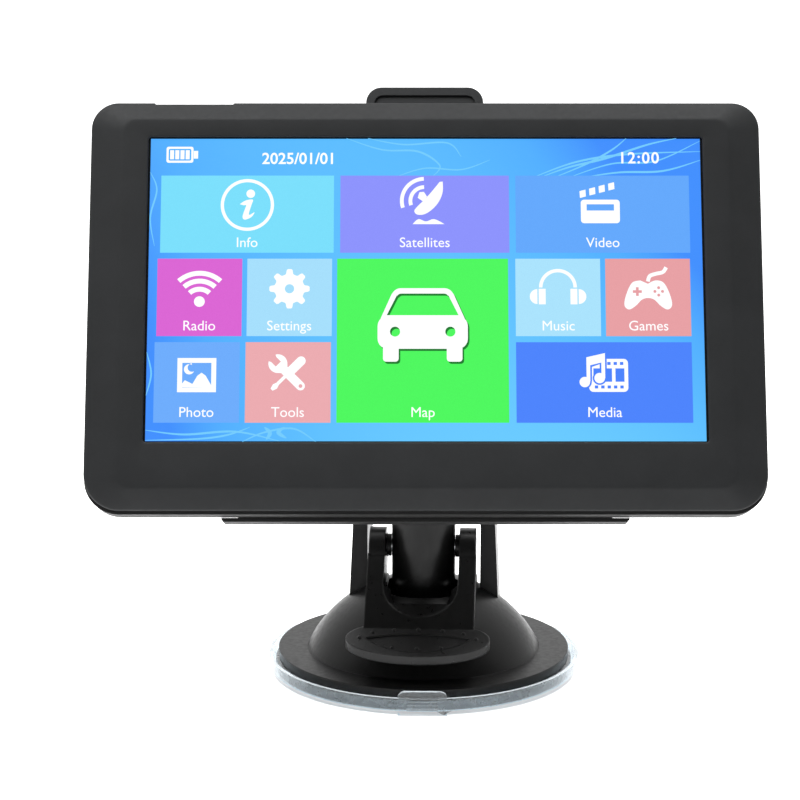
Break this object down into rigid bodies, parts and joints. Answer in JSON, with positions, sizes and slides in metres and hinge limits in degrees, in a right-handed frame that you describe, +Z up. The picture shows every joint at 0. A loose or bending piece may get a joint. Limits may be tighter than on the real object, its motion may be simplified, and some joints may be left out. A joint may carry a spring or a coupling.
{
  "type": "portable gps navigator",
  "caption": "Portable navigator with a wide touch screen, leaning back in a clip-in cradle on a ball-jointed arm and a round suction base with a flip lever.",
  "frame": {"origin": "centre of the underside of the suction pad's protective cap, which the object stands on", "axes": "+Z up along the suction axis, the screen faces -Y and leans back by 21 degrees, +X to the right of someone who reads the screen"},
  "size_m": [0.1872, 0.1067, 0.174],
  "materials": {
    "bezel_plastic": "fine satin texture",
    "shell_plastic": "fine satin texture",
    "mount_plastic": "semi-gloss moulded",
    "cradle_plastic": "matte moulded",
    "key_plastic": "semi-gloss",
    "foam": "matte foam",
    "screen_film": "clear hard-coated film",
    "display_glass": "lit display",
    "tray_metal": "plain sheet",
    "board_green": "solder mask",
    "shield_metal": "tinned sheet",
    "antenna_ceramic": "unglazed",
    "battery_wrap": "foil pouch",
    "speaker_steel": "black enamel",
    "port_metal": "plated",
    "jack_plastic": "moulded",
    "flex_amber": "polyimide film",
    "screw_steel": "zinc plated",
    "cup_nylon": "natural nylon",
    "pad_gel": "translucent soft polymer",
    "cap_clear": "clear blue-tinted",
    "spring_steel": "bright wire"
  },
  "bodies": {
    "base": {"base_housing": "mount_plastic", "tilt_nut": "screw_steel", "friction_washers": "cup_nylon", "suction_pad": "pad_gel", "release_spring": "spring_steel"},
    "plunger": {"plunger": "mount_plastic", "lever_pin": "screw_steel", "lever_bushes": "cup_nylon"},
    "suction_lever": {"suction_lever": "mount_plastic"},
    "protective_cap": {"protective_cap": "cap_clear"},
    "arm": {"arm": "mount_plastic"},
    "tilt_knob": {"tilt_knob": "mount_plastic", "tilt_bolt": "screw_steel"},
    "locking_collar": {"locking_collar": "mount_plastic"},
    "ball_pan": {"friction_cup": "cup_nylon"},
    "ball_tilt": {"ball_stud": "mount_plastic", "plate_screw": "screw_steel"},
    "navigator": {"mount_plate": "mount_plastic", "cradle": "cradle_plastic", "latch_pin": "screw_steel", "front_bezel": "bezel_plastic", "rear_cover": "shell_plastic", "screen_gasket": "foam", "touch_panel": "screen_film", "lcd_panel": "display_glass", "backlight_tray": "tray_metal", "main_board": "board_green", "shield_can": "shield_metal", "gps_antenna": "antenna_ceramic", "tact_switch": "jack_plastic", "usb_port": "port_metal", "card_slot": "port_metal", "audio_jack": "jack_plastic", "battery": "battery_wrap", "speaker": "speaker_steel", "lcd_flex": "flex_amber", "case_screws": "screw_steel", "board_screws": "screw_steel"},
    "power_button": {"power_button": "key_plastic"},
    "release_latch": {"release_latch": "cradle_plastic"}
  },
  "joints": [
    {"name": "arm_tilt", "type": "hinge", "parent": "base", "child": "arm", "pos_m": [0.00073, 0.01198, 0.066], "axis": [-0.9981, 0.061, 0], "range_deg": [0, 60]},
    {"name": "knob_turn", "type": "hinge", "parent": "base", "child": "tilt_knob", "pos_m": [0.00073, 0.01198, 0.066], "axis": [0.9981, -0.061, 0], "range_deg": [0, 360]},
    {"name": "collar_turn", "type": "hinge", "parent": "arm", "child": "locking_collar", "pos_m": [0, -0.00452, 0.10788], "axis": [0, -0.9336, 0.3584], "range_deg": [0, 180]},
    {"name": "ball_pan", "type": "hinge", "parent": "arm", "child": "ball_pan", "pos_m": [0, -0.00452, 0.10788], "axis": [0, 0.3584, 0.9336], "range_deg": [-15, 15]},
    {"name": "ball_tilt", "type": "hinge", "parent": "ball_pan", "child": "ball_tilt", "pos_m": [0, -0.00452, 0.10788], "axis": [-1, 0, 0], "range_deg": [-10, 15]},
    {"name": "ball_roll", "type": "hinge", "parent": "ball_tilt", "child": "navigator", "pos_m": [0, -0.00452, 0.10788], "axis": [0, -0.9336, 0.3584], "range_deg": [-12, 12]},
    {"name": "power_key", "type": "slide", "parent": "navigator", "child": "power_button", "axis": [0, -0.3584, -0.9336], "range_m": [0, 0.0005], "stiffness_N_per_m": 600, "springref_m": -0.0004},
    {"name": "latch_release", "type": "hinge", "parent": "navigator", "child": "release_latch", "pos_m": [0, -0.00989, 0.14636], "axis": [-1, 0, 0], "range_deg": [0, 12], "stiffness_Nm_per_rad": 0.3, "springref_deg": -5.73},
    {"name": "plunger_slide", "type": "slide", "parent": "base", "child": "plunger", "axis": [0, 0, -1], "range_m": [0, 0.0022], "deforming": ["suction_pad", "release_spring"]},
    {"name": "lever_swing", "type": "hinge", "parent": "plunger", "child": "suction_lever", "pos_m": [0, 0, 0.0375], "axis": [-0.9981, 0.061, 0], "range_deg": [0, 42]},
    {"name": "cap_pull", "type": "slide", "parent": "base", "child": "protective_cap", "axis": [0, 0, -1], "range_m": [0, 0.02]}
  ],
  "couplings": [
    {"joint": "plunger_slide", "follows": "lever_swing", "m_per_rad": 0.003}
  ]
}
